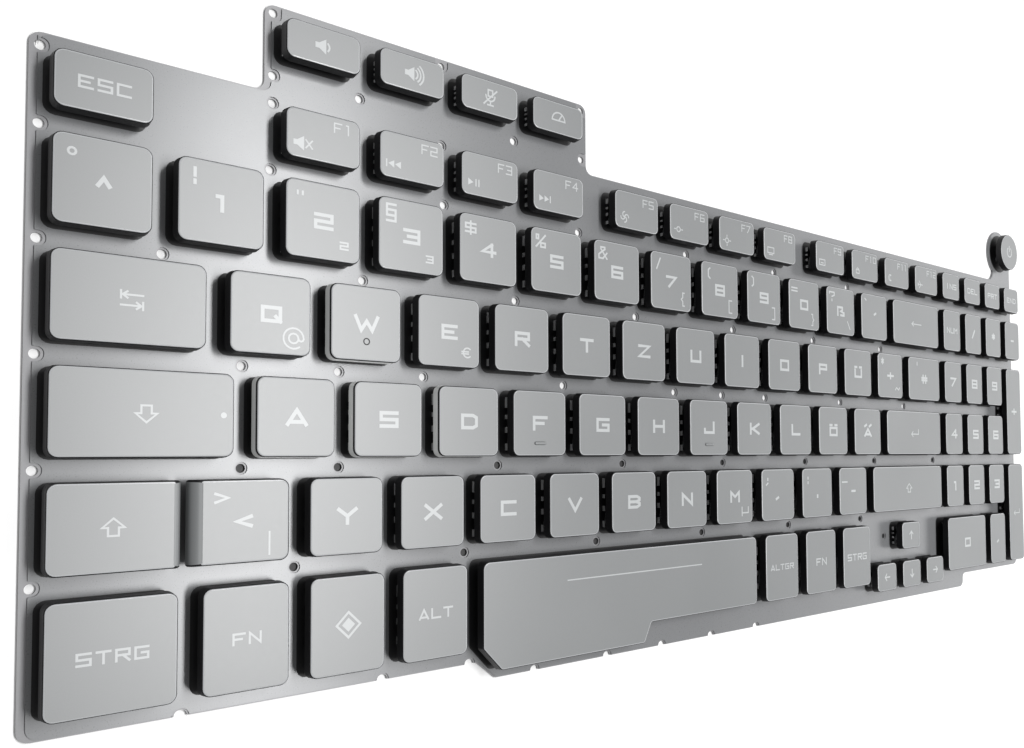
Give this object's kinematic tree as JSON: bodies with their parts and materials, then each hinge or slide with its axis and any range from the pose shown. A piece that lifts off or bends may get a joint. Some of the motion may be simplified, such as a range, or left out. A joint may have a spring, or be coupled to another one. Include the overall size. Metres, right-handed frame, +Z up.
{
  "type": "notebook keyboard module",
  "caption": "Flat notebook keyboard module: low keycaps with gaps between them on scissor links over a thin stamped plate, with number pad, hot keys and a round power key on a tab.",
  "frame": {"origin": "under the middle of the base plate's bounding rectangle, at its underside", "axes": "+X to the right along the key rows, +Y from the space bar to the function row, +Z up out of the keys"},
  "size_m": [0.3468, 0.1404, 0.0057],
  "materials": {
    "plate_metal": "satin grey",
    "film": "satin grey film",
    "keycap": "satin grey top",
    "keycap_clear": "grey top on a clear skirt",
    "link_plastic": "moulded",
    "dome_rubber": "silicone",
    "wire_steel": "drawn wire"
  },
  "bodies": {
    "deck": {"base_plate": "plate_metal", "switch_membrane": "film", "scissor_links": "link_plastic", "rubber_domes": "dome_rubber", "stabiliser_bars": "wire_steel", "upper_row_keys": "keycap", "number_pad_keys": "keycap"},
    "tab_key": {"tab_key": "keycap"},
    "key_q": {"key_q": "keycap"},
    "key_w": {"key_w": "keycap_clear"},
    "key_e": {"key_e": "keycap"},
    "key_r": {"key_r": "keycap"},
    "key_t": {"key_t": "keycap"},
    "key_z": {"key_z": "keycap"},
    "key_u": {"key_u": "keycap"},
    "key_i": {"key_i": "keycap"},
    "key_o": {"key_o": "keycap"},
    "key_p": {"key_p": "keycap"},
    "key_u_umlaut": {"key_u_umlaut": "keycap"},
    "key_plus": {"key_plus": "keycap"},
    "key_hash": {"key_hash": "keycap"},
    "caps_lock_key": {"caps_lock_key": "keycap"},
    "key_a": {"key_a": "keycap_clear"},
    "key_s": {"key_s": "keycap_clear"},
    "key_d": {"key_d": "keycap_clear"},
    "key_f": {"key_f": "keycap"},
    "key_g": {"key_g": "keycap"},
    "key_h": {"key_h": "keycap"},
    "key_j": {"key_j": "keycap"},
    "key_k": {"key_k": "keycap"},
    "key_l": {"key_l": "keycap"},
    "key_o_umlaut": {"key_o_umlaut": "keycap"},
    "key_a_umlaut": {"key_a_umlaut": "keycap"},
    "enter_key": {"enter_key": "keycap"},
    "left_shift_key": {"left_shift_key": "keycap"},
    "key_angle_bracket": {"key_angle_bracket": "keycap"},
    "key_y": {"key_y": "keycap"},
    "key_x": {"key_x": "keycap"},
    "key_c": {"key_c": "keycap"},
    "key_v": {"key_v": "keycap"},
    "key_b": {"key_b": "keycap"},
    "key_n": {"key_n": "keycap"},
    "key_m": {"key_m": "keycap"},
    "key_comma": {"key_comma": "keycap"},
    "key_period": {"key_period": "keycap"},
    "key_dash": {"key_dash": "keycap"},
    "right_shift_key": {"right_shift_key": "keycap"},
    "left_control_key": {"left_control_key": "keycap"},
    "layer_key": {"layer_key": "keycap"},
    "system_key": {"system_key": "keycap"},
    "left_alt_key": {"left_alt_key": "keycap"},
    "space_bar": {"space_bar": "keycap"},
    "right_alt_key": {"right_alt_key": "keycap"},
    "menu_key": {"menu_key": "keycap"},
    "right_control_key": {"right_control_key": "keycap"},
    "cursor_up_key": {"cursor_up_key": "keycap"},
    "cursor_left_key": {"cursor_left_key": "keycap"},
    "cursor_down_key": {"cursor_down_key": "keycap"},
    "cursor_right_key": {"cursor_right_key": "keycap"},
    "power_key": {"power_key": "keycap"}
  },
  "joints": [
    {"name": "tab_press", "type": "slide", "parent": "deck", "child": "tab_key", "axis": [0, 0, -1], "range_m": [0, 0.0018], "stiffness_N_per_m": 200, "springref_m": -0.001, "deforming": ["scissor_links", "rubber_domes"]},
    {"name": "key_q_press", "type": "slide", "parent": "deck", "child": "key_q", "axis": [0, 0, -1], "range_m": [0, 0.0018], "stiffness_N_per_m": 200, "springref_m": -0.001, "deforming": ["scissor_links", "rubber_domes"]},
    {"name": "key_w_press", "type": "slide", "parent": "deck", "child": "key_w", "axis": [0, 0, -1], "range_m": [0, 0.0018], "stiffness_N_per_m": 200, "springref_m": -0.001, "deforming": ["scissor_links", "rubber_domes"]},
    {"name": "key_e_press", "type": "slide", "parent": "deck", "child": "key_e", "axis": [0, 0, -1], "range_m": [0, 0.0018], "stiffness_N_per_m": 200, "springref_m": -0.001, "deforming": ["scissor_links", "rubber_domes"]},
    {"name": "key_r_press", "type": "slide", "parent": "deck", "child": "key_r", "axis": [0, 0, -1], "range_m": [0, 0.0018], "stiffness_N_per_m": 200, "springref_m": -0.001, "deforming": ["scissor_links", "rubber_domes"]},
    {"name": "key_t_press", "type": "slide", "parent": "deck", "child": "key_t", "axis": [0, 0, -1], "range_m": [0, 0.0018], "stiffness_N_per_m": 200, "springref_m": -0.001, "deforming": ["scissor_links", "rubber_domes"]},
    {"name": "key_z_press", "type": "slide", "parent": "deck", "child": "key_z", "axis": [0, 0, -1], "range_m": [0, 0.0018], "stiffness_N_per_m": 200, "springref_m": -0.001, "deforming": ["scissor_links", "rubber_domes"]},
    {"name": "key_u_press", "type": "slide", "parent": "deck", "child": "key_u", "axis": [0, 0, -1], "range_m": [0, 0.0018], "stiffness_N_per_m": 200, "springref_m": -0.001, "deforming": ["scissor_links", "rubber_domes"]},
    {"name": "key_i_press", "type": "slide", "parent": "deck", "child": "key_i", "axis": [0, 0, -1], "range_m": [0, 0.0018], "stiffness_N_per_m": 200, "springref_m": -0.001, "deforming": ["scissor_links", "rubber_domes"]},
    {"name": "key_o_press", "type": "slide", "parent": "deck", "child": "key_o", "axis": [0, 0, -1], "range_m": [0, 0.0018], "stiffness_N_per_m": 200, "springref_m": -0.001, "deforming": ["scissor_links", "rubber_domes"]},
    {"name": "key_p_press", "type": "slide", "parent": "deck", "child": "key_p", "axis": [0, 0, -1], "range_m": [0, 0.0018], "stiffness_N_per_m": 200, "springref_m": -0.001, "deforming": ["scissor_links", "rubber_domes"]},
    {"name": "key_u_umlaut_press", "type": "slide", "parent": "deck", "child": "key_u_umlaut", "axis": [0, 0, -1], "range_m": [0, 0.0018], "stiffness_N_per_m": 200, "springref_m": -0.001, "deforming": ["scissor_links", "rubber_domes"]},
    {"name": "key_plus_press", "type": "slide", "parent": "deck", "child": "key_plus", "axis": [0, 0, -1], "range_m": [0, 0.0018], "stiffness_N_per_m": 200, "springref_m": -0.001, "deforming": ["scissor_links", "rubber_domes"]},
    {"name": "key_hash_press", "type": "slide", "parent": "deck", "child": "key_hash", "axis": [0, 0, -1], "range_m": [0, 0.0018], "stiffness_N_per_m": 200, "springref_m": -0.001, "deforming": ["scissor_links", "rubber_domes"]},
    {"name": "caps_lock_press", "type": "slide", "parent": "deck", "child": "caps_lock_key", "axis": [0, 0, -1], "range_m": [0, 0.0018], "stiffness_N_per_m": 200, "springref_m": -0.001, "deforming": ["scissor_links", "rubber_domes", "stabiliser_bars"]},
    {"name": "key_a_press", "type": "slide", "parent": "deck", "child": "key_a", "axis": [0, 0, -1], "range_m": [0, 0.0018], "stiffness_N_per_m": 200, "springref_m": -0.001, "deforming": ["scissor_links", "rubber_domes"]},
    {"name": "key_s_press", "type": "slide", "parent": "deck", "child": "key_s", "axis": [0, 0, -1], "range_m": [0, 0.0018], "stiffness_N_per_m": 200, "springref_m": -0.001, "deforming": ["scissor_links", "rubber_domes"]},
    {"name": "key_d_press", "type": "slide", "parent": "deck", "child": "key_d", "axis": [0, 0, -1], "range_m": [0, 0.0018], "stiffness_N_per_m": 200, "springref_m": -0.001, "deforming": ["scissor_links", "rubber_domes"]},
    {"name": "key_f_press", "type": "slide", "parent": "deck", "child": "key_f", "axis": [0, 0, -1], "range_m": [0, 0.0018], "stiffness_N_per_m": 200, "springref_m": -0.001, "deforming": ["scissor_links", "rubber_domes"]},
    {"name": "key_g_press", "type": "slide", "parent": "deck", "child": "key_g", "axis": [0, 0, -1], "range_m": [0, 0.0018], "stiffness_N_per_m": 200, "springref_m": -0.001, "deforming": ["scissor_links", "rubber_domes"]},
    {"name": "key_h_press", "type": "slide", "parent": "deck", "child": "key_h", "axis": [0, 0, -1], "range_m": [0, 0.0018], "stiffness_N_per_m": 200, "springref_m": -0.001, "deforming": ["scissor_links", "rubber_domes"]},
    {"name": "key_j_press", "type": "slide", "parent": "deck", "child": "key_j", "axis": [0, 0, -1], "range_m": [0, 0.0018], "stiffness_N_per_m": 200, "springref_m": -0.001, "deforming": ["scissor_links", "rubber_domes"]},
    {"name": "key_k_press", "type": "slide", "parent": "deck", "child": "key_k", "axis": [0, 0, -1], "range_m": [0, 0.0018], "stiffness_N_per_m": 200, "springref_m": -0.001, "deforming": ["scissor_links", "rubber_domes"]},
    {"name": "key_l_press", "type": "slide", "parent": "deck", "child": "key_l", "axis": [0, 0, -1], "range_m": [0, 0.0018], "stiffness_N_per_m": 200, "springref_m": -0.001, "deforming": ["scissor_links", "rubber_domes"]},
    {"name": "key_o_umlaut_press", "type": "slide", "parent": "deck", "child": "key_o_umlaut", "axis": [0, 0, -1], "range_m": [0, 0.0018], "stiffness_N_per_m": 200, "springref_m": -0.001, "deforming": ["scissor_links", "rubber_domes"]},
    {"name": "key_a_umlaut_press", "type": "slide", "parent": "deck", "child": "key_a_umlaut", "axis": [0, 0, -1], "range_m": [0, 0.0018], "stiffness_N_per_m": 200, "springref_m": -0.001, "deforming": ["scissor_links", "rubber_domes"]},
    {"name": "enter_press", "type": "slide", "parent": "deck", "child": "enter_key", "axis": [0, 0, -1], "range_m": [0, 0.0018], "stiffness_N_per_m": 200, "springref_m": -0.001, "deforming": ["scissor_links", "rubber_domes", "stabiliser_bars"]},
    {"name": "left_shift_press", "type": "slide", "parent": "deck", "child": "left_shift_key", "axis": [0, 0, -1], "range_m": [0, 0.0018], "stiffness_N_per_m": 200, "springref_m": -0.001, "deforming": ["scissor_links", "rubber_domes"]},
    {"name": "key_angle_bracket_press", "type": "slide", "parent": "deck", "child": "key_angle_bracket", "axis": [0, 0, -1], "range_m": [0, 0.0018], "stiffness_N_per_m": 200, "springref_m": -0.001, "deforming": ["scissor_links", "rubber_domes"]},
    {"name": "key_y_press", "type": "slide", "parent": "deck", "child": "key_y", "axis": [0, 0, -1], "range_m": [0, 0.0018], "stiffness_N_per_m": 200, "springref_m": -0.001, "deforming": ["scissor_links", "rubber_domes"]},
    {"name": "key_x_press", "type": "slide", "parent": "deck", "child": "key_x", "axis": [0, 0, -1], "range_m": [0, 0.0018], "stiffness_N_per_m": 200, "springref_m": -0.001, "deforming": ["scissor_links", "rubber_domes"]},
    {"name": "key_c_press", "type": "slide", "parent": "deck", "child": "key_c", "axis": [0, 0, -1], "range_m": [0, 0.0018], "stiffness_N_per_m": 200, "springref_m": -0.001, "deforming": ["scissor_links", "rubber_domes"]},
    {"name": "key_v_press", "type": "slide", "parent": "deck", "child": "key_v", "axis": [0, 0, -1], "range_m": [0, 0.0018], "stiffness_N_per_m": 200, "springref_m": -0.001, "deforming": ["scissor_links", "rubber_domes"]},
    {"name": "key_b_press", "type": "slide", "parent": "deck", "child": "key_b", "axis": [0, 0, -1], "range_m": [0, 0.0018], "stiffness_N_per_m": 200, "springref_m": -0.001, "deforming": ["scissor_links", "rubber_domes"]},
    {"name": "key_n_press", "type": "slide", "parent": "deck", "child": "key_n", "axis": [0, 0, -1], "range_m": [0, 0.0018], "stiffness_N_per_m": 200, "springref_m": -0.001, "deforming": ["scissor_links", "rubber_domes"]},
    {"name": "key_m_press", "type": "slide", "parent": "deck", "child": "key_m", "axis": [0, 0, -1], "range_m": [0, 0.0018], "stiffness_N_per_m": 200, "springref_m": -0.001, "deforming": ["scissor_links", "rubber_domes"]},
    {"name": "key_comma_press", "type": "slide", "parent": "deck", "child": "key_comma", "axis": [0, 0, -1], "range_m": [0, 0.0018], "stiffness_N_per_m": 200, "springref_m": -0.001, "deforming": ["scissor_links", "rubber_domes"]},
    {"name": "key_period_press", "type": "slide", "parent": "deck", "child": "key_period", "axis": [0, 0, -1], "range_m": [0, 0.0018], "stiffness_N_per_m": 200, "springref_m": -0.001, "deforming": ["scissor_links", "rubber_domes"]},
    {"name": "key_dash_press", "type": "slide", "parent": "deck", "child": "key_dash", "axis": [0, 0, -1], "range_m": [0, 0.0018], "stiffness_N_per_m": 200, "springref_m": -0.001, "deforming": ["scissor_links", "rubber_domes"]},
    {"name": "right_shift_press", "type": "slide", "parent": "deck", "child": "right_shift_key", "axis": [0, 0, -1], "range_m": [0, 0.0018], "stiffness_N_per_m": 200, "springref_m": -0.001, "deforming": ["scissor_links", "rubber_domes", "stabiliser_bars"]},
    {"name": "left_control_press", "type": "slide", "parent": "deck", "child": "left_control_key", "axis": [0, 0, -1], "range_m": [0, 0.0018], "stiffness_N_per_m": 200, "springref_m": -0.001, "deforming": ["scissor_links", "rubber_domes"]},
    {"name": "layer_press", "type": "slide", "parent": "deck", "child": "layer_key", "axis": [0, 0, -1], "range_m": [0, 0.0018], "stiffness_N_per_m": 200, "springref_m": -0.001, "deforming": ["scissor_links", "rubber_domes"]},
    {"name": "system_press", "type": "slide", "parent": "deck", "child": "system_key", "axis": [0, 0, -1], "range_m": [0, 0.0018], "stiffness_N_per_m": 200, "springref_m": -0.001, "deforming": ["scissor_links", "rubber_domes"]},
    {"name": "left_alt_press", "type": "slide", "parent": "deck", "child": "left_alt_key", "axis": [0, 0, -1], "range_m": [0, 0.0018], "stiffness_N_per_m": 200, "springref_m": -0.001, "deforming": ["scissor_links", "rubber_domes"]},
    {"name": "space_bar_press", "type": "slide", "parent": "deck", "child": "space_bar", "axis": [0, 0, -1], "range_m": [0, 0.0018], "stiffness_N_per_m": 200, "springref_m": -0.001, "deforming": ["scissor_links", "rubber_domes", "stabiliser_bars"]},
    {"name": "right_alt_press", "type": "slide", "parent": "deck", "child": "right_alt_key", "axis": [0, 0, -1], "range_m": [0, 0.0018], "stiffness_N_per_m": 200, "springref_m": -0.001, "deforming": ["scissor_links", "rubber_domes"]},
    {"name": "menu_press", "type": "slide", "parent": "deck", "child": "menu_key", "axis": [0, 0, -1], "range_m": [0, 0.0018], "stiffness_N_per_m": 200, "springref_m": -0.001, "deforming": ["scissor_links", "rubber_domes"]},
    {"name": "right_control_press", "type": "slide", "parent": "deck", "child": "right_control_key", "axis": [0, 0, -1], "range_m": [0, 0.0018], "stiffness_N_per_m": 200, "springref_m": -0.001, "deforming": ["scissor_links", "rubber_domes"]},
    {"name": "cursor_up_press", "type": "slide", "parent": "deck", "child": "cursor_up_key", "axis": [0, 0, -1], "range_m": [0, 0.0018], "stiffness_N_per_m": 200, "springref_m": -0.001, "deforming": ["scissor_links", "rubber_domes"]},
    {"name": "cursor_left_press", "type": "slide", "parent": "deck", "child": "cursor_left_key", "axis": [0, 0, -1], "range_m": [0, 0.0018], "stiffness_N_per_m": 200, "springref_m": -0.001, "deforming": ["scissor_links", "rubber_domes"]},
    {"name": "cursor_down_press", "type": "slide", "parent": "deck", "child": "cursor_down_key", "axis": [0, 0, -1], "range_m": [0, 0.0018], "stiffness_N_per_m": 200, "springref_m": -0.001, "deforming": ["scissor_links", "rubber_domes"]},
    {"name": "cursor_right_press", "type": "slide", "parent": "deck", "child": "cursor_right_key", "axis": [0, 0, -1], "range_m": [0, 0.0018], "stiffness_N_per_m": 200, "springref_m": -0.001, "deforming": ["scissor_links", "rubber_domes"]},
    {"name": "power_press", "type": "slide", "parent": "deck", "child": "power_key", "axis": [0, 0, -1], "range_m": [0, 0.0018], "stiffness_N_per_m": 200, "springref_m": -0.001, "deforming": ["scissor_links", "rubber_domes"]}
  ]
}
